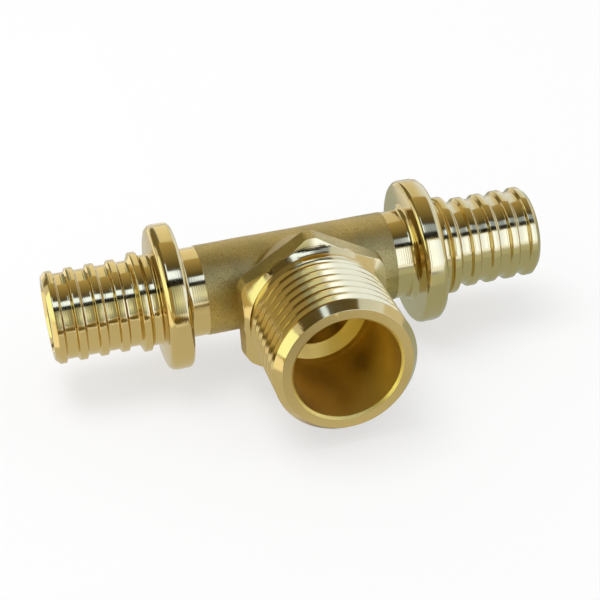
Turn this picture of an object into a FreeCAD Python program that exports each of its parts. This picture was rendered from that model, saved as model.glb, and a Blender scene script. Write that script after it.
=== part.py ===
import FreeCAD, Part
import math
import os
from FreeCAD import Vector

# A forged brass tee for plastic pipe: two barbed spigots in line and one threaded branch.
# The run lies along X and the branch points along -Y, so the tee lies flat with +Z up.
# The two centre lines cross at the origin. All lengths are in millimetres.

# Run, end to end, and the water way through it
run_length = 76.0
run_bore = 10.0
run_bore_chamfer = 0.4

# Forged barrel between the two turned necks
barrel_diameter = 13.8
barrel_half_length = 14.7
neck_diameter = 13.6
neck_fillet = 0.9

# Stop flange that the sliding sleeve is pressed against
flange_diameter = 22.3
flange_inner_face = 17.9
flange_thickness = 3.9
flange_edge_radius = 0.7

# Collar and groove beside the flange
groove_diameter = 13.8
groove_width = 1.75
collar_diameter = 15.2
collar_width = 1.1
collar_fall = 0.5

# Barbs: low ribs with a flat crest between two short slopes, the last one cut off by the tip
barb_count = 4
barb_pitch = 3.15
barb_first_crest = 3.45
barb_crest_diameter = 14.0
barb_root_diameter = 12.9
barb_crest_width = 0.95
barb_slope_width = 0.6
tip_chamfer = 0.7

# Forged hexagon at the root of the branch, with a corner at the top and one at the bottom
hexagon_across_flats = 22.4
hexagon_across_corners = 25.0
hexagon_back = 9.5
hexagon_front = 12.9
hexagon_back_edge = 0.5
trunk_diameter_at_hexagon = 21.0
trunk_diameter_at_run = 13.4

# Turned shoulder and relief between the hexagon and the thread
shoulder_diameter = 21.8
shoulder_length = 0.8
relief_diameter = 20.6

# Threaded branch: a half inch pipe thread, 14 turns to the inch, its turns cut as rings
branch_length = 29.0
thread_diameter = 20.955
thread_pitch = 1.814
thread_depth = 0.93
thread_angle = 55.0
thread_turns = 7
thread_first_groove = 16.1
thread_lead_length = 1.3
thread_face_diameter = 19.1

# Stepped water way of the branch
branch_bore = 15.7
branch_bore_depth = 16.3
branch_mouth_chamfer = 0.35
throat_diameter = 11.6
throat_cone_angle = 118.0

# Small rounded edges are broken into this many flats
flats_per_round = 2

half_run = run_length / 2
flange_outer_face = flange_inner_face + flange_thickness


def along_run(points):
    return [Vector(x, r, 0) for x, r in points]


def along_branch(points):
    return [Vector(r, -y, 0) for y, r in points]


def turned(edges, axis):
    # One full turn of a closed outline about the run or the branch centre line.
    face = Part.Face(Part.Wire(edges))
    return face.revolve(Vector(0, 0, 0), axis, 360)


def straight(points):
    return [Part.LineSegment(a, b).toShape() for a, b in zip(points[:-1], points[1:])]


def eased(points, radii):
    # Straight edges whose inner corners are rounded, each in a few short flats along its arc.
    outline = [points[0]]
    for before, corner, after, radius in zip(points, points[1:], points[2:], radii):
        into = (corner - before).normalize()
        out = (after - corner).normalize()
        turn = into.getAngle(out)
        side = math.copysign(1, into.cross(out).z)
        start = corner - into * radius * math.tan(turn / 2)
        centre = start + Vector(-into.y, into.x, 0) * radius * side
        spoke = start - centre
        for step in range(flats_per_round + 1):
            angle = math.degrees(side * turn * step / flats_per_round)
            outline.append(centre + FreeCAD.Rotation(Vector(0, 0, 1), angle).multVec(spoke))
    outline.append(points[-1])
    return straight(outline)


def flange_outline():
    # From the barrel over the flange to the groove beside it.
    neck = neck_diameter / 2
    rim = flange_diameter / 2
    groove = groove_diameter / 2
    points = along_run([
        (barrel_half_length, neck),
        (flange_inner_face, neck),
        (flange_inner_face, rim),
        (flange_outer_face, rim),
        (flange_outer_face, groove),
    ])
    radii = [neck_fillet, flange_edge_radius, flange_edge_radius]
    return eased(points, radii)


def barb_outline():
    # From the groove over the collar and the barbs to the end of the tip's chamfer.
    crest = barb_crest_diameter / 2
    root = barb_root_diameter / 2
    collar_start = flange_outer_face + groove_width
    collar_end = collar_start + collar_width
    points = [
        (flange_outer_face, groove_diameter / 2),
        (collar_start, groove_diameter / 2),
        (collar_start, collar_diameter / 2),
        (collar_end, collar_diameter / 2),
        (collar_end + collar_fall, root),
    ]
    for number in range(barb_count):
        crest_start = collar_start + barb_first_crest + number * barb_pitch
        crest_end = crest_start + barb_crest_width
        points.append((crest_start - barb_slope_width, root))
        points.append((crest_start, crest))
        if number < barb_count - 1:
            points.append((crest_end, crest))
            points.append((crest_end + barb_slope_width, root))
    points.append((half_run - tip_chamfer, crest))
    points.append((half_run, crest - tip_chamfer))
    return straight(along_run(points))


def spigot():
    # One turned end of the run: neck, flange, collar, barbs and tip, solid to the centre line.
    start = Vector(barrel_half_length, 0, 0)
    neck_edge = Vector(barrel_half_length, neck_diameter / 2, 0)
    tip_edge = Vector(half_run, barb_crest_diameter / 2 - tip_chamfer, 0)
    tip_centre = Vector(half_run, 0, 0)
    closing = straight([tip_edge, tip_centre, start, neck_edge])
    return turned(flange_outline() + barb_outline() + closing, Vector(1, 0, 0))


def mirrored(shape):
    return shape.mirror(Vector(0, 0, 0), Vector(1, 0, 0))


def barrel():
    start = Vector(-barrel_half_length, 0, 0)
    return Part.makeCylinder(barrel_diameter / 2, 2 * barrel_half_length, start, Vector(1, 0, 0))


def trunk():
    # The forged cone that carries the hexagon out from the barrel.
    run_radius = trunk_diameter_at_run / 2
    hexagon_radius = trunk_diameter_at_hexagon / 2
    return Part.makeCone(run_radius, hexagon_radius, hexagon_back, Vector(0, 0, 0), Vector(0, -1, 0))


def hexagon():
    # A prism whose corners are rounded off and eased behind.
    corner_radius = hexagon_across_flats / 2 / math.cos(math.pi / 6)
    corners = []
    for number in range(7):
        angle = math.pi / 2 + number * math.pi / 3
        place = Vector(corner_radius * math.cos(angle), -hexagon_back, corner_radius * math.sin(angle))
        corners.append(place)
    height = hexagon_front - hexagon_back
    prism = Part.Face(Part.makePolygon(corners)).extrude(Vector(0, -height, 0))
    reach = hexagon_across_corners / 2
    envelope = turned(straight(along_branch([
        (hexagon_back, 0),
        (hexagon_back, reach - hexagon_back_edge),
        (hexagon_back + hexagon_back_edge, reach),
        (hexagon_front, reach),
        (hexagon_front, 0),
        (hexagon_back, 0),
    ])), Vector(0, 1, 0))
    return prism.common(envelope)


def threaded_branch():
    # Shoulder and relief beside the hexagon, the grooves of the thread and its lead-in cone.
    outer = thread_diameter / 2
    relief = relief_diameter / 2
    shoulder = shoulder_diameter / 2
    points = [
        (0, 0),
        (0, relief / 2),
        (hexagon_back, relief / 2),
        (hexagon_back, relief),
        (hexagon_front - shoulder_length, relief),
        (hexagon_front - shoulder_length, shoulder),
        (hexagon_front, shoulder),
        (hexagon_front + shoulder_length, relief),
    ]
    slope = math.tan(math.radians(thread_angle / 2))
    for number in range(thread_turns):
        root = thread_first_groove + number * thread_pitch
        bottom = outer - thread_depth
        top_before = relief if number == 0 else outer
        points.append((root - (top_before - bottom) * slope, top_before))
        points.append((root, bottom))
        points.append((root + (outer - bottom) * slope, outer))
    points.append((branch_length - thread_lead_length, outer))
    points.append((branch_length, thread_face_diameter / 2))
    points.append((branch_length, 0))
    points.append((0, 0))
    return turned(straight(along_branch(points)), Vector(0, 1, 0))


def run_water_way():
    # The bore from the middle of the run to its right end, with the edge broken at the mouth.
    bore = run_bore / 2
    edge = run_bore_chamfer
    return turned(straight(along_run([
        (0, 0),
        (0, bore),
        (half_run - edge, bore),
        (half_run, bore + edge),
        (half_run, 0),
        (0, 0),
    ])), Vector(1, 0, 0))


def branch_water_way():
    bore = branch_bore / 2
    throat = throat_diameter / 2
    edge = branch_mouth_chamfer
    bore_end = branch_length - branch_bore_depth
    cone_depth = (bore - throat) / math.tan(math.radians(throat_cone_angle / 2))
    return turned(straight(along_branch([
        (0, 0),
        (0, throat),
        (bore_end - cone_depth, throat),
        (bore_end, bore),
        (branch_length - edge, bore),
        (branch_length, bore + edge),
        (branch_length, 0),
        (0, 0),
    ])), Vector(0, 1, 0))


def tee_body():
    forging = barrel().fuse(trunk())
    outside = forging.multiFuse([hexagon(), threaded_branch(), spigot(), mirrored(spigot())])
    half_way = run_water_way()
    return outside.removeSplitter().cut([half_way, mirrored(half_way), branch_water_way()])


os.makedirs("parts", exist_ok=True)
body = tee_body()
body.exportStep("parts/tee_body.step")
print("tee_body", len(body.Solids), "solid", round(body.Volume, 1), "mm3", body.isValid())
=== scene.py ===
import bpy
import bmesh
import math
from mathutils import Matrix, Vector, noise


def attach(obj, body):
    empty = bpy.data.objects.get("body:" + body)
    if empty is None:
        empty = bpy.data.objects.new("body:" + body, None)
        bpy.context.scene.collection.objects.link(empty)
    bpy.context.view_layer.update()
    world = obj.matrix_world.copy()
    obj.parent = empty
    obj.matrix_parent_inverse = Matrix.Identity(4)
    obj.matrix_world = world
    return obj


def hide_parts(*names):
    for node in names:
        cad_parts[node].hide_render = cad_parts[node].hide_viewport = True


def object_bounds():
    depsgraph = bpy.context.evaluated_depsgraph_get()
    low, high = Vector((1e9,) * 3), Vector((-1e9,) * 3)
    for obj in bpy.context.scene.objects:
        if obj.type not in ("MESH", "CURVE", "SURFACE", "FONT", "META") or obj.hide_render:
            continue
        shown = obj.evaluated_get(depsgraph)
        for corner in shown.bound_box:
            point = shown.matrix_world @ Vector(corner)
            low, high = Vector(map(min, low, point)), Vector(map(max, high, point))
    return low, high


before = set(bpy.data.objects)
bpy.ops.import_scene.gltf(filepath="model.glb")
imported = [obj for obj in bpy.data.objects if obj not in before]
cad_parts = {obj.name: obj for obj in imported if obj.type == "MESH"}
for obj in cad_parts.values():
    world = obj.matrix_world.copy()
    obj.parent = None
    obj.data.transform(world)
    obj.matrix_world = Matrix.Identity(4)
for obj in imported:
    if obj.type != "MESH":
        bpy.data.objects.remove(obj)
cadLow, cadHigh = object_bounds()
mm = 0.001
alongBranch = Matrix.Rotation(-math.pi / 2, 4, "Z")  # a shape turned about +X then points along -Y
print("frame loaded")


def put(tree, kind, feeds=None, **settings):
    node = tree.nodes.new(kind)
    for name, value in settings.items():
        setattr(node, name, value)
    for key, value in (feeds or {}).items():
        if isinstance(value, bpy.types.NodeSocket):
            tree.links.new(value, node.inputs[key])
        else:
            node.inputs[key].default_value = value
    return node


def calc(tree, operation, *values):
    return put(tree, "ShaderNodeMath", dict(enumerate(values)), operation=operation).outputs[0]


def ranged(tree, value, low, high, first=0, last=1, **settings):
    feeds = {"Value": value, 1: low, 2: high, 3: first, 4: last}
    return put(tree, "ShaderNodeMapRange", feeds, **settings).outputs[0]


def mixed(tree, share, first, second):
    feeds = {"Factor": share, 6: first, 7: second}
    return put(tree, "ShaderNodeMix", feeds, data_type="RGBA").outputs[2]


def grained(tree, place, scale, detail):
    feeds = {"Vector": place, "Scale": scale, "Detail": detail}
    return put(tree, "ShaderNodeTexNoise", feeds).outputs[0]


def lined(tree, along, size, detail):
    # noise along one way only; its size is in mm
    feeds = {"W": along, "Scale": 1 / (size * mm), "Detail": detail}
    return put(tree, "ShaderNodeTexNoise", feeds, noise_dimensions="1D").outputs[0]


def newItem(name, mesh):
    item = bpy.data.objects.new(name, mesh)
    bpy.context.collection.objects.link(item)
    return item


def settled(item):
    # the plain mesh that the object's modifiers give
    bpy.context.view_layer.update()
    depsgraph = bpy.context.evaluated_depsgraph_get()
    mesh = bpy.data.meshes.new_from_object(item.evaluated_get(depsgraph), depsgraph=depsgraph)
    bpy.data.objects.remove(item)
    return mesh


def newMetal(name):
    material = bpy.data.materials.new(name)
    material.use_nodes = True
    tree = material.node_tree
    shader = tree.nodes["Principled BSDF"]
    shader.inputs["Metallic"].default_value = 1
    place = put(tree, "ShaderNodeTexCoord").outputs["Object"]
    return material, tree, shader, place


turnedLook = {
    "color": (0.74, 0.575, 0.25, 1),
    "darker": (0.69, 0.53, 0.215, 1),  # in patches
    "patchScale": 260,  # per m
    "patchRange": (0.3, 0.7),
    "roughness": 0.11,
    "roughnessSpread": (0.85, 1.25),  # from patch to patch
    "feed": 0.33,  # spacing of the tool marks, mm
    "feedDepth": 0.0026,
    "feedWobble": 3,
    "lineSize": 0.09,
    "lineDepth": 0.0012,
    "waveSize": 1.6,
    "waveDepth": 0.004,
}

# the branch's thread gets painted shade in its grooves, darker towards their floor: radii and far
# end in mm
branchLook = dict(
    turnedLook,
    feedDepth=0.0014,
    grooveFloor=9.45,
    grooveTop=10.0,
    grooveEnd=27.5,
    paintedGrooveShade=(0.30, 0.19, 0.05, 1),
)

# bored brass: rougher than the turned brass, and given a lighter, yellower colour that is painted
# light for the dim inside of the bore
boredBrightenedLook = dict(
    turnedLook,
    color=(0.95, 0.75, 0.22, 1),
    darker=(0.92, 0.66, 0.15, 1),
    roughness=0.42,
)


def turnedBrass(name, axis, look):
    # tool marks run round the axis that the surface was turned about
    material, tree, shader, place = newMetal(name)
    parts = put(tree, "ShaderNodeSeparateXYZ", {0: place}).outputs
    along = parts[axis]
    squares = [calc(tree, "POWER", parts[n], 2) for n in "XYZ" if n != axis]
    radius = calc(tree, "SQRT", calc(tree, "ADD", *squares))
    ring = calc(tree, "ADD", along, radius)
    lines = lined(tree, ring, look["lineSize"], 2)
    waves = lined(tree, ring, look["waveSize"], 1)
    wobble = calc(tree, "MULTIPLY", waves, look["feedWobble"])
    turns = calc(tree, "MULTIPLY", ring, 2 * math.pi / (look["feed"] * mm))
    feed = calc(tree, "SINE", calc(tree, "ADD", turns, wobble))
    height = calc(tree, "MULTIPLY", lines, look["lineDepth"] * mm)
    height = calc(tree, "ADD", height, calc(tree, "MULTIPLY", feed, look["feedDepth"] * mm / 2))
    height = calc(tree, "ADD", height, calc(tree, "MULTIPLY", waves, look["waveDepth"] * mm))
    bump = put(tree, "ShaderNodeBump", {"Strength": 1, "Distance": 1, "Height": height})
    patch = grained(tree, place, look["patchScale"], 3)
    tone = mixed(tree, patch, look["color"], look["darker"])
    # painted shade: the thread's grooves turn darker towards their floor, up to their far end
    if "paintedGrooveShade" in look:
        depth = ranged(tree, radius, look["grooveFloor"] * mm, look["grooveTop"] * mm, 1, 0)
        inside = calc(tree, "GREATER_THAN", along, -look["grooveEnd"] * mm)
        tone = mixed(tree, calc(tree, "MULTIPLY", depth, inside), tone, look["paintedGrooveShade"])
    smoothest, roughest = (look["roughness"] * part for part in look["roughnessSpread"])
    rough = ranged(tree, patch, *look["patchRange"], smoothest, roughest)
    tree.links.new(tone, shader.inputs["Base Color"])
    tree.links.new(rough, shader.inputs["Roughness"])
    tree.links.new(bump.outputs[0], shader.inputs["Normal"])
    return material


forgedLook = {
    "color": (0.66, 0.49, 0.15, 1),
    "dull": (0.45, 0.36, 0.12, 1),  # in clouds
    "cloudScale": 170,  # per m
    "cloudRange": (0.38, 0.66),
    "brown": (0.36, 0.22, 0.06, 1),  # in specks
    "speckRange": (0.50, 0.64),
    "roughness": 0.42,
    "grain": 0.14,  # mm
    "grainDepth": 0.045,
    "pitSize": 0.7,
    "pitDepth": 0.03,
}


def forgedBrass(name, look):
    # the sand-blasted skin that the forge leaves
    material, tree, shader, place = newMetal(name)
    grain = grained(tree, place, 1 / (look["grain"] * mm), 2)
    pits = grained(tree, place, 1 / (look["pitSize"] * mm), 3)
    height = calc(tree, "ADD", calc(tree, "MULTIPLY", grain, look["grainDepth"] * mm),
                  calc(tree, "MULTIPLY", pits, look["pitDepth"] * mm))
    bump = put(tree, "ShaderNodeBump", {"Strength": 1, "Distance": 1, "Height": height})
    cloud = ranged(tree, grained(tree, place, look["cloudScale"], 4), *look["cloudRange"])
    tone = mixed(tree, cloud, look["color"], look["dull"])
    speck = ranged(tree, grain, *look["speckRange"])
    tone = mixed(tree, speck, tone, look["brown"])
    tree.links.new(tone, shader.inputs["Base Color"])
    tree.links.new(bump.outputs[0], shader.inputs["Normal"])
    shader.inputs["Roughness"].default_value = look["roughness"]
    return material


runSkin = turnedBrass("turned brass of the run", "X", turnedLook)
branchSkin = turnedBrass("turned brass of the branch", "Y", branchLook)
boreSkin = turnedBrass("bored brass of the branch with painted light", "Y", boredBrightenedLook)
forgedSkin = forgedBrass("forged brass", forgedLook)
print("materials made")


def newTree(name, sockets):
    tree = bpy.data.node_groups.new(name, "GeometryNodeTree")
    face = tree.interface
    face.new_socket("Geometry", in_out="INPUT", socket_type="NodeSocketGeometry")
    for label, kind in sockets.items():
        face.new_socket(label, in_out="INPUT", socket_type="NodeSocket" + kind)
    face.new_socket("Geometry", in_out="OUTPUT", socket_type="NodeSocketGeometry")
    given = tree.nodes.new("NodeGroupInput").outputs
    result = tree.nodes.new("NodeGroupOutput").inputs[0]
    return tree, given, result


def addTree(item, tree, values):
    modifier = item.modifiers.new(tree.name, "NODES")
    modifier.node_group = tree
    for socket in tree.interface.items_tree:
        if socket.in_out == "INPUT" and socket.name in values:
            modifier[socket.identifier] = values[socket.name]


def rowAndColumn(tree, columns):
    # of each point of a grid
    index = put(tree, "GeometryNodeInputIndex").outputs[0]
    row = calc(tree, "FLOOR", calc(tree, "DIVIDE", calc(tree, "ADD", index, 0.5), columns))
    column = calc(tree, "SUBTRACT", index, calc(tree, "MULTIPLY", row, columns))
    return row, column


def wrapGrid(tree, grid, along, radius, turn, skin):
    # a grid's points are laid round the X axis, welded and given their skin
    angle = calc(tree, "MULTIPLY", turn, 2 * math.pi)
    place = put(tree, "ShaderNodeCombineXYZ", {
        0: along,
        1: calc(tree, "MULTIPLY", radius, calc(tree, "COSINE", angle)),
        2: calc(tree, "MULTIPLY", radius, calc(tree, "SINE", angle)),
    }).outputs[0]
    body = put(tree, "GeometryNodeSetPosition", {"Geometry": grid, "Position": place}).outputs[0]
    weld = {"Geometry": body, "Distance": 0.0005 * mm}
    body = put(tree, "GeometryNodeMergeByDistance", weld).outputs[0]
    body = put(tree, "GeometryNodeRealizeInstances", {"Geometry": body}).outputs[0]
    return put(tree, "GeometryNodeSetMaterial", {"Geometry": body, "Material": skin}).outputs[0]


def turningTree():
    # turns an outline in the XY plane round the X axis, after rounding its corners
    tree, given, result = newTree("turning", {
        "Steps": "Int",
        "Corner Steps": "Int",
        "Skin": "Material",
    })
    radius = put(tree, "GeometryNodeInputNamedAttribute", {"Name": "rounding"},
                 data_type="FLOAT").outputs[0]
    line = put(tree, "GeometryNodeMeshToCurve", {"Mesh": given["Geometry"]}).outputs[0]
    line = put(tree, "GeometryNodeFilletCurve", {
        "Curve": line,
        "Count": given["Corner Steps"],
        "Radius": radius,
        "Limit Radius": True,
    }, mode="POLY").outputs[0]
    size = put(tree, "GeometryNodeAttributeDomainSize", {0: line}, component="CURVE").outputs
    columns = calc(tree, "ADD", given["Steps"], 1)
    grid = put(tree, "GeometryNodeMeshGrid", {
        "Vertices X": size["Point Count"],
        "Vertices Y": columns,
    }).outputs[0]
    row, column = rowAndColumn(tree, columns)
    turn = calc(tree, "DIVIDE", column, given["Steps"])
    spot = put(tree, "GeometryNodeInputPosition").outputs[0]
    spot = put(tree, "GeometryNodeSampleIndex", {"Geometry": line, "Value": spot, "Index": row},
               data_type="FLOAT_VECTOR", domain="POINT").outputs[0]
    parts = put(tree, "ShaderNodeSeparateXYZ", {0: spot}).outputs
    body = wrapGrid(tree, grid, parts[0], parts[1], turn, given["Skin"])
    tree.links.new(body, result)
    return tree


def barbTree():
    # adds barbs to an outline that the turning tree then turns: a foot, the start and end of the
    # crest and the far foot of each, but for the last one, which the tip cuts off
    tree, given, result = newTree("barbs", {
        "Count": "Int",
        "First": "Float",
        "Pitch": "Float",
        "Crest": "Float",
        "Root": "Float",
        "Slope": "Float",
        "Land": "Float",
        "Rounding": "Float",
    })
    barb, corner = rowAndColumn(tree, 4)
    corner = calc(tree, "SUBTRACT", corner, 1.5)
    isFoot = calc(tree, "GREATER_THAN", calc(tree, "ABSOLUTE", corner), 1)
    isAfter = calc(tree, "GREATER_THAN", corner, 0)
    along = calc(tree, "ADD", given["First"], calc(tree, "MULTIPLY", barb, given["Pitch"]))
    along = calc(tree, "ADD", along, calc(tree, "MULTIPLY", isAfter, given["Land"]))
    outwards = calc(tree, "MULTIPLY", isFoot, calc(tree, "SIGN", corner))
    along = calc(tree, "ADD", along, calc(tree, "MULTIPLY", outwards, given["Slope"]))
    height = calc(tree, "SUBTRACT", given["Crest"], given["Root"])
    radius = calc(tree, "SUBTRACT", given["Crest"], calc(tree, "MULTIPLY", isFoot, height))
    place = put(tree, "ShaderNodeCombineXYZ", {0: along, 1: radius}).outputs[0]
    count = calc(tree, "SUBTRACT", calc(tree, "MULTIPLY", given["Count"], 4), 2)
    line = put(tree, "GeometryNodeMeshLine", {"Count": count}).outputs[0]
    line = put(tree, "GeometryNodeSetPosition", {"Geometry": line, "Position": place}).outputs[0]
    line = put(tree, "GeometryNodeStoreNamedAttribute", {
        "Geometry": line,
        "Name": "rounding",
        "Value": given["Rounding"],
    }, data_type="FLOAT", domain="POINT").outputs[0]
    joined = put(tree, "GeometryNodeJoinGeometry")
    tree.links.new(line, joined.inputs[0])
    tree.links.new(given["Geometry"], joined.inputs[0])
    weld = {"Geometry": joined.outputs[0], "Distance": 0.01 * mm}
    tree.links.new(put(tree, "GeometryNodeMergeByDistance", weld).outputs[0], result)
    return tree


def threadTree():
    # a screw thread round the X axis, with rows that climb one pitch a turn
    tree, given, result = newTree("thread", {
        "Pitch": "Float",
        "Turns": "Int",
        "Rows Per Turn": "Int",
        "Steps": "Int",
        "Start": "Float",
        "Crest": "Float",
        "Depth": "Float",
        "Flank Slope": "Float",
        "Easing": "Float",
        "Fade From": "Float",
        "Fade To": "Float",
        "Skin": "Material",
    })
    pitch = given["Pitch"]
    depth = given["Depth"]
    last = calc(tree, "MULTIPLY", given["Turns"], given["Rows Per Turn"])
    rows = calc(tree, "ADD", last, 3)  # the first and the last one close the ends
    columns = calc(tree, "ADD", given["Steps"], 1)
    grid = put(tree, "GeometryNodeMeshGrid", {
        "Vertices X": rows,
        "Vertices Y": columns,
    }).outputs[0]
    row, column = rowAndColumn(tree, columns)
    turn = calc(tree, "DIVIDE", column, given["Steps"])
    level = calc(tree, "MAXIMUM", calc(tree, "SUBTRACT", row, 1), 0)
    level = calc(tree, "DIVIDE", calc(tree, "MINIMUM", level, last), given["Rows Per Turn"])
    climb = calc(tree, "MULTIPLY", calc(tree, "ADD", level, turn), pitch)
    along = calc(tree, "ADD", given["Start"], climb)
    # how far the flank has risen from the root, with crest and root rounded
    phase = calc(tree, "FRACT", calc(tree, "ADD", level, 0.0001))
    offset = calc(tree, "ABSOLUTE", calc(tree, "SUBTRACT", phase, 0.5))
    fromRoot = calc(tree, "MULTIPLY", offset, pitch)
    rise = calc(tree, "DIVIDE", fromRoot, given["Flank Slope"])
    rise = calc(tree, "SUBTRACT", rise, calc(tree, "DIVIDE", depth, 4))
    rise = calc(tree, "SMOOTH_MAX", rise, 0, given["Easing"])
    rise = calc(tree, "SMOOTH_MIN", rise, depth, given["Easing"])
    fade = ranged(tree, along, given["Fade From"], given["Fade To"],
                  interpolation_type="SMOOTHSTEP")
    cut = calc(tree, "MULTIPLY", calc(tree, "SUBTRACT", depth, rise), fade)
    radius = calc(tree, "SUBTRACT", given["Crest"], cut)
    isAfterFirst = calc(tree, "GREATER_THAN", row, 0.5)
    isBeforeLast = calc(tree, "LESS_THAN", row, calc(tree, "SUBTRACT", rows, 1.5))
    radius = calc(tree, "MULTIPLY", radius, calc(tree, "MULTIPLY", isAfterFirst, isBeforeLast))
    body = wrapGrid(tree, grid, along, radius, turn, given["Skin"])
    tree.links.new(body, result)
    return tree


turning = turningTree()
barbing = barbTree()
threading = threadTree()
print("node trees built")


def outline(name, *lines):
    # points are (along, radius) or (along, radius, corner rounding), all in mm
    points = []
    edges = []
    for line in lines:
        edges += [(len(points) + n, len(points) + n + 1) for n in range(len(line) - 1)]
        points += line
    mesh = bpy.data.meshes.new(name)
    mesh.from_pydata([(p[0] * mm, p[1] * mm, 0) for p in points], edges, [])
    rounding = mesh.attributes.new("rounding", "FLOAT", "POINT")
    for spot, p in zip(rounding.data, points):
        spot.value = p[2] * mm if len(p) > 2 else 0
    return newItem(name, mesh)


def closed(mesh):
    # welded, without holes and facing outwards
    bm = bmesh.new()
    bm.from_mesh(mesh)
    bmesh.ops.remove_doubles(bm, verts=bm.verts, dist=0.0002 * mm)
    bmesh.ops.holes_fill(bm, edges=[e for e in bm.edges if e.is_boundary], sides=0)
    bmesh.ops.recalc_face_normals(bm, faces=bm.faces)
    bm.to_mesh(mesh)
    bm.free()
    return mesh


def turned(item, skin, steps=144, cornerSteps=3, place=None):
    name = item.name
    addTree(item, turning, {"Steps": steps, "Corner Steps": cornerSteps, "Skin": skin})
    mesh = closed(settled(item))
    if place is not None:
        mesh.transform(place)
    mesh.name = name
    return newItem(name, mesh)


def worked(base, *jobs):
    # boolean jobs in order, each (what, tool)
    for what, tool in jobs:
        modifier = base.modifiers.new(tool.name, "BOOLEAN")
        modifier.operation = what
        modifier.object = tool
        modifier.solver = "MANIFOLD"
        modifier.material_mode = "TRANSFER"
    name = base.name
    mesh = settled(base)
    for job in jobs:
        bpy.data.objects.remove(job[1])
    mesh.name = name
    return newItem(name, mesh)


# one end of the run, places along it and radii in mm
spigot = {
    "neckStart": 14.0,
    "neckRadius": 6.8,
    "neckFillet": 0.9,
    "flangeStart": 17.9,
    "flangeEnd": 21.8,
    "flangeRadius": 11.15,
    "flangeEdge": 0.7,
    "flangeOuterEdge": 1.2,
    "flangeLean": 0.3,  # how far the outer face leans in at the rim
    "grooveRadius": 6.9,
    "grooveFillet": 0.5,
    "collarStart": 23.55,
    "collarEnd": 24.65,
    "collarRadius": 7.6,
    "rampEnd": 25.15,
    "rampFillet": 0.3,
    "barbs": 4,
    "firstCrest": 26.95,
    "barbPitch": 3.15,
    "barbSlope": 0.3,
    "barbLand": 1.05,
    "crestRadius": 7.0,
    "rootRadius": 6.47,
    "barbRounding": 0.12,
    "tipStart": 37.3,
    "tipRadius": 6.3,
    "end": 38.0,
    "edge": 0.15,  # rounding of the collar and the tip
    "steps": 160,
}


def makeSpigot(name, size):
    root = size["rootRadius"]
    edge = size["edge"]
    inner = [
        (size["neckStart"], 0),
        (size["neckStart"], size["neckRadius"]),
        (size["flangeStart"], size["neckRadius"], size["neckFillet"]),
        (size["flangeStart"], size["flangeRadius"], size["flangeEdge"]),
        (size["flangeEnd"] - size["flangeLean"], size["flangeRadius"], size["flangeOuterEdge"]),
        (size["flangeEnd"], size["grooveRadius"], size["grooveFillet"]),
        (size["collarStart"], size["grooveRadius"], size["grooveFillet"]),
        (size["collarStart"], size["collarRadius"], edge),
        (size["collarEnd"], size["collarRadius"], edge),
        (size["rampEnd"], root, size["rampFillet"]),
        (size["firstCrest"] - size["barbSlope"], root),
    ]
    lastCrest = size["firstCrest"] + (size["barbs"] - 1) * size["barbPitch"]
    tip = [
        (lastCrest, size["crestRadius"]),
        (size["tipStart"], size["crestRadius"], edge),
        (size["end"], size["tipRadius"], edge),
        (size["end"], 0),
    ]
    item = outline(name, inner, tip)
    addTree(item, barbing, {
        "Count": size["barbs"],
        "First": size["firstCrest"] * mm,
        "Pitch": size["barbPitch"] * mm,
        "Crest": size["crestRadius"] * mm,
        "Root": root * mm,
        "Slope": size["barbSlope"] * mm,
        "Land": size["barbLand"] * mm,
        "Rounding": size["barbRounding"] * mm,
    })
    return turned(item, runSkin, steps=size["steps"])


rightSpigot = makeSpigot("right spigot", spigot)
mirroredMesh = rightSpigot.data.copy()
mirroredMesh.transform(Matrix.Scale(-1, 4, (1, 0, 0)))
leftSpigot = newItem("left spigot", closed(mirroredMesh))
print("spigots turned")


# the turned part of the branch, places along it and radii in mm
branch = {
    "pitch": 1.814,
    "turns": 12,
    "start": 9.206,
    "crest": 10.4775,
    "depth": 1.162,
    "flankAngle": 27.5,
    "easing": 0.10,  # of crests and roots
    "fadeFrom": 14.9,  # the thread's run-out
    "fadeTo": 16.0,
    "rowsPerTurn": 12,
    "steps": 144,
    "bandStart": 10,
    "bandRadius": 10.3,
    "bandEnd": 14.9,
    "bandSlope": 0.2,
    "shoulderFoot": 10.5,
    "shoulderStart": 12.9,
    "shoulderEnd": 13.7,
    "shoulderRadius": 10.9,
    "leadFoot": 27.0,  # the last groove is filled from here
    "leadFootRadius": 9.2,
    "leadStart": 27.7,
    "end": 29.0,
    "faceRadius": 9.55,
    "faceEdge": 0.08,
    "gap": 0.02,  # keeps two surfaces from lying in each other
}


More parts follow.
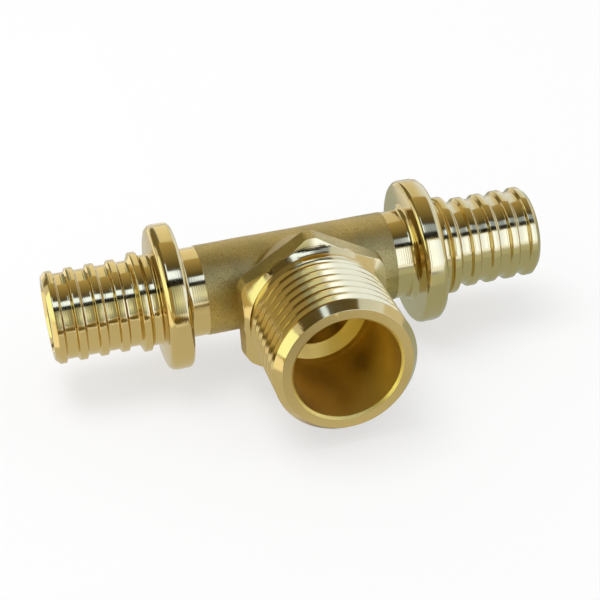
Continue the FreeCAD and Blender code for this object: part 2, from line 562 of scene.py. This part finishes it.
def makeBranch(size):
    item = newItem("thread", bpy.data.meshes.new("thread"))
    addTree(item, threading, {
        "Pitch": size["pitch"] * mm,
        "Turns": size["turns"],
        "Rows Per Turn": size["rowsPerTurn"],
        "Steps": size["steps"],
        "Start": size["start"] * mm,
        "Crest": size["crest"] * mm,
        "Depth": size["depth"] * mm,
        "Flank Slope": math.tan(math.radians(size["flankAngle"])),
        "Easing": size["easing"] * mm,
        "Fade From": size["fadeFrom"] * mm,
        "Fade To": size["fadeTo"] * mm,
        "Skin": branchSkin,
    })
    mesh = closed(settled(item))
    mesh.transform(alongBranch)
    item = newItem("thread", mesh)
    hull = size["crest"] + size["gap"]
    limit = turned(outline("thread envelope", [
        (size["bandStart"], 0),
        (size["bandStart"], size["bandRadius"]),
        (size["bandEnd"], size["bandRadius"]),
        (size["bandEnd"] + size["bandSlope"], hull),
        (size["leadStart"], hull),
        (size["end"], size["faceRadius"], size["faceEdge"]),
        (size["end"], 0),
    ]), branchSkin, place=alongBranch)
    shoulder = turned(outline("shoulder", [
        (size["shoulderFoot"], 0),
        (size["shoulderFoot"], size["shoulderRadius"]),
        (size["shoulderStart"], size["shoulderRadius"]),
        (size["shoulderEnd"], size["bandRadius"] - size["gap"]),
        (size["shoulderEnd"], 0),
    ]), branchSkin, place=alongBranch)
    lead = turned(outline("lead", [
        (size["leadFoot"], 0),
        (size["leadFoot"], size["leadFootRadius"]),
        (size["leadStart"], hull),
        (size["end"], size["faceRadius"], size["faceEdge"]),
        (size["end"], 0),
    ]), branchSkin, place=alongBranch)
    return worked(item, ("INTERSECT", limit), ("UNION", shoulder), ("UNION", lead))


threadedBranch = makeBranch(branch)
print("branch threaded", len(threadedBranch.data.polygons), "faces")


# the raw forging, sizes in mm
forging = {
    "barrelRadius": 6.9,
    "barrelEnd": 14.7,
    "trunkRadius": 6.7,
    "trunkEnd": 9.9,
    "trunkEndRadius": 10.6,
    "hexagonBack": 9.5,
    "hexagonFront": 12.9,
    "acrossFlats": 22.4,
    "acrossCorners": 25.0,
    "backEdge": 0.5,
    "draft": 0.55,  # how much smaller the hexagon's corners are in front
    "stock": 1,  # what the cutters take off each end
    "voxel": 0.28,
    "smoothing": 6,  # passes
    "smoothingFactor": 0.5,
    "unevenness": 0.035,
    "unevennessScale": 260,  # per m
    "partingLine": 0.07,
    "partingWidth": 0.35,
}


def makeHexagon(size):
    bm = bmesh.new()
    corner = size["acrossCorners"] / 2
    flat = math.acos(size["acrossFlats"] / 2 / corner)  # half the angle that one flat takes
    rings = [
        (size["hexagonBack"], corner - size["backEdge"]),
        (size["hexagonBack"] + size["backEdge"], corner),
        (size["hexagonFront"] + size["stock"], corner - size["draft"]),
    ]
    loops = []
    for depth, radius in rings:
        loop = []
        for n in range(6):
            for turn in (flat - math.pi / 6, 0, math.pi / 6 - flat):
                angle = math.pi / 2 + n * math.pi / 3 + turn
                spot = (radius * math.cos(angle), -depth, radius * math.sin(angle))
                loop.append(bm.verts.new(Vector(spot) * mm))
        loops.append(loop)
    for low, high in zip(loops, loops[1:]):
        for n in range(len(low)):
            bm.faces.new((low[n], low[n - 1], high[n - 1], high[n]))
    bm.faces.new(loops[0])
    bm.faces.new(loops[-1])
    bmesh.ops.recalc_face_normals(bm, faces=bm.faces)
    return bm


def makeForging(size):
    # barrel, trunk and hexagon are melted into one skin with worn edges
    long = size["barrelEnd"] + size["stock"]
    barrel = turned(outline("barrel", [
        (-long, 0),
        (-long, size["barrelRadius"]),
        (long, size["barrelRadius"]),
        (long, 0),
    ]), forgedSkin)
    trunk = turned(outline("trunk", [
        (0, 0),
        (0, size["trunkRadius"]),
        (size["trunkEnd"], size["trunkEndRadius"]),
        (size["trunkEnd"], 0),
    ]), forgedSkin, place=alongBranch)
    bm = makeHexagon(size)
    for piece in (barrel, trunk):
        bm.from_mesh(piece.data)
        bpy.data.objects.remove(piece)
    mesh = bpy.data.meshes.new("forging")
    bm.to_mesh(mesh)
    bm.free()
    mesh.materials.append(forgedSkin)
    item = newItem("forging", mesh)
    remesh = item.modifiers.new("skin", "REMESH")
    remesh.mode = "VOXEL"
    remesh.voxel_size = size["voxel"] * mm
    smooth = item.modifiers.new("worn edges", "SMOOTH")
    smooth.factor = size["smoothingFactor"]
    smooth.iterations = size["smoothing"]
    mesh = settled(item)
    normals = [vertex.normal.copy() for vertex in mesh.vertices]
    for vertex, normal in zip(mesh.vertices, normals):
        spot = vertex.co
        swell = size["unevenness"] * noise.noise(spot * size["unevennessScale"])
        fromLine = abs(spot.z) / (size["partingWidth"] * mm)
        swell += size["partingLine"] * max(0, 1 - fromLine)
        vertex.co = spot + normal * swell * mm
    if not mesh.materials:
        mesh.materials.append(forgedSkin)
    return newItem("tee", mesh)


# the tools that face the forging, sizes in mm
facing = {
    "reach": 12,
    "length": 3,
    "steps": 48,
    "coneRadius": 10.9,  # the hexagon's front falls away outside this
    "coneEndRadius": 12.6,
    "coneDepth": 0.9,
    "frontLength": 4,
}


def makeCutters(size, blank):
    ends = []
    for side, name in ((1, "right end cut"), (-1, "left end cut")):
        near = side * blank["barrelEnd"]
        far = side * (blank["barrelEnd"] + size["length"])
        ends.append(turned(outline(name, [
            (near, 0),
            (near, size["reach"]),
            (far, size["reach"]),
            (far, 0),
        ]), runSkin, steps=size["steps"]))
    front = blank["hexagonFront"]
    far = front + size["frontLength"]
    hexagonFace = turned(outline("hexagon facing", [
        (front, 0),
        (front, size["coneRadius"]),
        (front - size["coneDepth"], size["coneEndRadius"]),
        (far, size["coneEndRadius"]),
        (far, 0),
    ]), branchSkin, place=alongBranch)
    return ends, hexagonFace


tee = makeForging(forging)
endCuts, facingCut = makeCutters(facing, forging)
print("forging shaped", len(tee.data.polygons), "faces")


# the drills, sizes in mm
waterWay = {
    "runRadius": 5.0,
    "runEdge": 0.4,
    "runEasing": 0.1,
    "runSteps": 128,
    "throatRadius": 5.8,
    "throatEdge": 0.15,
    "throatEasing": 0.05,
    "coneAngle": 118,
    "boreRadius": 7.85,
    "boreEnd": 12.7,
    "boreEasing": 0.15,
    "ringPlace": 13.9,  # a fine groove near the bore's inner end
    "ringDepth": 0.08,
    "ringWidth": 0.3,
    "mouthEdge": 0.35,
    "mouthEasing": 0.08,
    "overshoot": 1,
}


def makeWaterWays(size, spigotSize, branchSize):
    past = size["overshoot"]
    bore = size["runRadius"]
    edge = size["runEdge"]
    ease = size["runEasing"]
    end = spigotSize["end"]
    run = turned(outline("run bore", [
        (-end - past, 0),
        (-end - past, bore + edge + past),
        (-end + edge, bore, ease),
        (end - edge, bore, ease),
        (end + past, bore + edge + past),
        (end + past, 0),
    ]), runSkin, steps=size["runSteps"])
    bore = size["boreRadius"]
    throat = size["throatRadius"]
    lip = size["throatEdge"]
    cone = size["boreEnd"] - (bore - throat) / math.tan(math.radians(size["coneAngle"] / 2))
    ring = size["ringPlace"]
    half = size["ringWidth"] / 2
    end = branchSize["end"]
    edge = size["mouthEdge"]
    branchWay = turned(outline("branch bore", [
        (0, 0),
        (0, throat),
        (cone - lip, throat),
        (cone + lip * 0.5, throat + lip, size["throatEasing"]),
        (size["boreEnd"], bore, size["boreEasing"]),
        (ring - half, bore),
        (ring, bore + size["ringDepth"]),
        (ring + half, bore),
        (end - edge, bore, size["mouthEasing"]),
        (end + past, bore + edge + past),
        (end + past, 0),
    ]), boreSkin, place=alongBranch)
    return run, branchWay


runWay, branchWay = makeWaterWays(waterWay, spigot, branch)
tee = worked(
    tee,
    ("DIFFERENCE", endCuts[0]),
    ("DIFFERENCE", endCuts[1]),
    ("DIFFERENCE", facingCut),
    ("UNION", rightSpigot),
    ("UNION", leftSpigot),
    ("UNION", threadedBranch),
    ("DIFFERENCE", runWay),
    ("DIFFERENCE", branchWay),
)


def finishTee(item, sharpAngle=34):
    mesh = closed(item.data)
    mesh.shade_smooth()
    mesh.set_sharp_from_angle(angle=math.radians(sharpAngle))
    weighted = item.modifiers.new("even shading", "WEIGHTED_NORMAL")
    weighted.keep_sharp = True
    mesh = settled(item)
    mesh.name = "tee"
    bm = bmesh.new()
    bm.from_mesh(mesh)
    loose = sum(1 for e in bm.edges if not e.is_manifold)
    triangles = sum(len(f.verts) - 2 for f in bm.faces)
    bm.free()
    print("tee joined:", triangles, "triangles,", loose, "open edges")
    return newItem("tee", mesh)


tee = finishTee(tee)
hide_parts("tee_body")
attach(tee, "root")
print("tee finished")


# sizes and places in m
studio = {
    "world": 0.78,
    "lamp": 2.2,
    "lampSize": 0.5,
    "lampPlace": (-0.15, 0.1, 0.7),
    "cardDistance": 0.6,
    "cardBend": 4,  # degrees that one strip of a bent card takes
    "cardLift": 0.0001,  # of the cards that lie on the floor
}

floor = {
    "color": (0.86, 0.86, 0.86, 1),
    "roughness": 0.9,
    "shine": 0.1,
    "glow": 0.6,  # how much of the floor that the camera sees is plain white
    "halfWidth": 4,
}

daylight = (0.50, 0.68, 1.35)
frost = (0.56, 0.72, 1.35)
haze = (0.80, 0.95, 1.45)
mint = (0.95, 1.12, 0.92)
pearl = (0.88, 1.0, 1.0)
cream = (1.0, 0.97, 0.85)
warm = (1.0, 0.83, 0.42)
umber = (0.12, 0.08, 0.015)

# cards bent round the run: angles above the front in degrees, places along it in m, color, and
# how bright the card is at its lower left, lower right, upper left and upper right corner
bentCards = [
    ("front drape", 0, 43, -0.60, -0.08, warm, (0.46, 0.38, 0.40, 0.34)),
    ("front slit", 0, 43, -0.08, -0.012, pearl, (0.36, 0.36, 0.44, 0.44)),
    ("softbox left foot", 0, 19, -0.012, 0.10, pearl, (0.34, 0.36, 0.90, 1.22)),
    ("softbox left head", 19, 43, -0.012, 0.10, pearl, (0.90, 1.22, 0.44, 0.54)),
    ("softbox step", 0, 43, 0.10, 0.15, haze, (0.45, 1.7, 0.80, 1.7)),
    ("softbox right", -2, 41, 0.15, 0.30, frost, (3.0, 2.1, 2.8, 2.0)),
    ("softbox far right", -2, 41, 0.30, 0.90, frost, (2.1, 1.9, 2.0, 1.8)),
    ("lower gap", 43, 54.5, -1.2, 0.35, warm, (0.012, 0.012, 0.012, 0.012)),
    ("strip", 54.5, 67, -0.16, 0.08, daylight, (2.6, 2.6, 2.6, 2.6)),
    ("strip step", 54.5, 67, 0.08, 0.16, daylight, (2.2, 0.8, 2.2, 0.8)),
    ("strip right", 54.5, 67, 0.16, 0.35, daylight, (0.75, 0.75, 0.75, 0.75)),
    ("strip end", 67, 82, -0.16, -0.08, daylight, (2.2, 2.2, 1.8, 1.8)),
    ("left drape", 54.5, 121, -0.60, -0.16, warm, (0.10, 0.10, 0.20, 0.20)),
    ("upper gap", 67, 80, -0.08, 0.35, warm, (0.06, 0.07, 0.16, 0.18)),
    ("ceiling", 80, 121, -0.16, 0.35, warm, (0.18, 0.19, 0.58, 0.48)),
    ("right window", 43, 121, 0.35, 1.2, haze, (1.0, 1.2, 0.9, 1.2)),
    ("back drape", 121, 172, -0.60, -0.08, warm, (0.20, 0.22, 0.18, 0.20)),
    ("back slit", 121, 172, -0.08, -0.012, pearl, (0.32, 0.32, 0.32, 0.32)),
    ("back wall left", 122, 172, -0.012, 0.12, cream, (0.92, 0.90, 1.10, 1.05)),
    ("back wall right", 121, 172, 0.12, 0.22, cream, (0.76, 0.80, 0.82, 0.90)),
    ("back window", 121, 172, 0.22, 1.2, haze, (1.1, 1.3, 1.2, 1.3)),
]

# cards lying on the floor: from and to along the run, from and to along the branch in m, color,
# and how bright they are at the front left, front right, back left and back right corner
floorCards = [
    ("table edge left", -0.06, -0.012, -0.170, -0.060, umber, (2.5, 2.5, 0.8, 0.8)),
    ("table edge middle", -0.012, 0.004, -0.170, -0.076, umber, (2.0, 2.0, 0.5, 0.5)),
    ("table edge right", 0.020, 0.046, -0.105, -0.068, haze, (0.50, 0.60, 0.35, 0.50)),
    ("table far right", 0.046, 0.40, -0.105, -0.068, haze, (1.0, 1.0, 0.9, 0.9)),
    ("table near right", 0.020, 0.40, -0.068, -0.030, pearl, (0.66, 0.66, 0.60, 0.60)),
    ("table front left", -0.06, 0.004, -0.55, -0.170, warm, (0.42, 0.42, 0.36, 0.36)),
    ("table far left", -0.60, -0.06, -0.55, -0.050, warm, (0.60, 0.60, 0.60, 0.60)),
    ("table front right", 0.020, 0.60, -0.55, -0.105, haze, (1.5, 1.5, 1.5, 1.5)),
    ("mouth card", -0.010, 0.020, -0.076, -0.030, cream, (0.30, 0.72, 0.72, 0.68)),
    ("near card", -0.050, -0.010, -0.048, 0.15, cream, (0.68, 0.64, 0.72, 0.68)),
    ("grey card", 0.004, 0.50, -0.030, 0.15, pearl, (0.50, 0.50, 0.50, 0.50)),
    ("left card", -0.60, -0.050, -0.048, 0.25, cream, (1.25, 1.25, 1.25, 1.25)),
]

# a card that stands at the left: its place along the run, from and to along the branch, from and
# to in height, color and how bright it is
sideCards = [
    ("left softbox", -0.5, (-0.45, 0.25), (-0.01, 0.32), mint, 1.45),
]


def glowMaterial():
    material = bpy.data.materials.new("studio card")
    material.use_nodes = True
    tree = material.node_tree
    tree.nodes.clear()
    color = put(tree, "ShaderNodeAttribute", attribute_name="glow").outputs["Color"]
    light = put(tree, "ShaderNodeEmission", {"Color": color, "Strength": 1}).outputs[0]
    put(tree, "ShaderNodeOutputMaterial", {"Surface": light})
    return material


def makeCard(name, points, color, levels, material):
    # seen only in the metal's reflections; the points come in pairs, one pair for each bend
    mesh = bpy.data.meshes.new(name)
    strips = range(0, len(points) - 2, 2)
    mesh.from_pydata(points, [], [(n, n + 1, n + 3, n + 2) for n in strips])
    glow = mesh.attributes.new("glow", "FLOAT_COLOR", "POINT")
    for spot, level in zip(glow.data, levels):
        spot.color = (*(level * part for part in color), 1)
    mesh.materials.append(material)
    item = newItem(name, mesh)
    item.visible_camera = False
    item.visible_diffuse = False
    item.visible_shadow = False


def makeBentCard(name, low, high, left, right, color, corners, material):
    bends = max(1, round((high - low) / studio["cardBend"]))
    points = []
    levels = []
    for n in range(bends + 1):
        part = n / bends
        angle = math.radians(low + (high - low) * part)
        y = -studio["cardDistance"] * math.cos(angle)
        z = studio["cardDistance"] * math.sin(angle)
        points += [(left, y, z), (right, y, z)]
        levels += [corners[side] + (corners[side + 2] - corners[side]) * part for side in (0, 1)]
    makeCard(name, points, color, levels, material)


def makeFloor(size):
    mesh = bpy.data.meshes.new("floor")
    wide = size["halfWidth"]
    low = cadLow.z
    corners = [(-wide, -wide, low), (wide, -wide, low), (wide, wide, low), (-wide, wide, low)]
    mesh.from_pydata(corners, [], [(0, 1, 2, 3)])
    paint = bpy.data.materials.new("floor")
    paint.use_nodes = True
    tree = paint.node_tree
    shader = tree.nodes["Principled BSDF"]
    shader.inputs["Base Color"].default_value = size["color"]
    shader.inputs["Roughness"].default_value = size["roughness"]
    shader.inputs["Specular IOR Level"].default_value = size["shine"]
    seen = put(tree, "ShaderNodeLightPath").outputs["Is Camera Ray"]
    white = put(tree, "ShaderNodeEmission", {"Strength": 1}).outputs[0]
    share = calc(tree, "MULTIPLY", seen, size["glow"])
    both = put(tree, "ShaderNodeMixShader", {0: share, 1: shader.outputs[0], 2: white}).outputs[0]
    tree.links.new(both, tree.nodes["Material Output"].inputs["Surface"])
    mesh.materials.append(paint)
    newItem("floor", mesh)


def makeLights(size):
    world = bpy.data.worlds.new("studio")
    world.use_nodes = True
    bpy.context.scene.world = world
    back = world.node_tree.nodes["Background"]
    back.inputs["Color"].default_value = (1, 1, 1, 1)
    back.inputs["Strength"].default_value = size["world"]
    lamp = bpy.data.lights.new("overhead lamp", "AREA")
    lamp.shape = "DISK"
    lamp.size = size["lampSize"]
    lamp.energy = size["lamp"]
    item = newItem("overhead lamp", lamp)
    item.location = size["lampPlace"]
    item.rotation_euler = (-item.location).to_track_quat("-Z", "Y").to_euler()
    item.visible_glossy = False


def makeCards(size):
    material = glowMaterial()
    for card in bentCards:
        makeBentCard(*card, material)
    z = cadLow.z + size["cardLift"]
    for name, left, right, front, behind, color, levels in floorCards:
        points = [(x, y, z) for y in (front, behind) for x in (left, right)]
        makeCard(name, points, color, levels, material)
    for name, x, reach, height, color, level in sideCards:
        points = [(x, y, z) for z in height for y in reach]
        makeCard(name, points, color, [level] * len(points), material)


makeFloor(floor)
makeLights(studio)
makeCards(studio)
print("studio lit")


# the photo's camera: angles in degrees, places in m, lens in mm
view = {
    "azimuth": -13.48,
    "elevation": 30.51,
    "roll": -3.82,
    "right": 0.000975,
    "up": -0.00416,
    "distance": 0.2495,
    "lens": 97.57,
    "sensor": 36,
    "clipStart": 0.01,
}


def makeCamera(size):
    azimuth, elevation, roll = (math.radians(size[n]) for n in ("azimuth", "elevation", "roll"))
    ahead = math.cos(elevation)
    back = Vector((math.sin(azimuth) * ahead, -math.cos(azimuth) * ahead, math.sin(elevation)))
    level = Vector((math.cos(azimuth), math.sin(azimuth), 0))
    top = back.cross(level)
    right = level * math.cos(roll) + top * math.sin(roll)
    up = top * math.cos(roll) - level * math.sin(roll)
    place = back * size["distance"] + right * size["right"] + up * size["up"]
    lens = bpy.data.cameras.new("camera")
    lens.sensor_fit = "HORIZONTAL"
    lens.sensor_width = size["sensor"]
    lens.lens = size["lens"]
    lens.clip_start = size["clipStart"]
    item = newItem("camera", lens)
    turn = Matrix((right, up, back)).transposed().to_4x4()
    item.matrix_world = Matrix.Translation(place) @ turn
    bpy.context.scene.camera = item


makeCamera(view)
bpy.context.scene.view_settings.view_transform = "Standard"
print("camera placed")
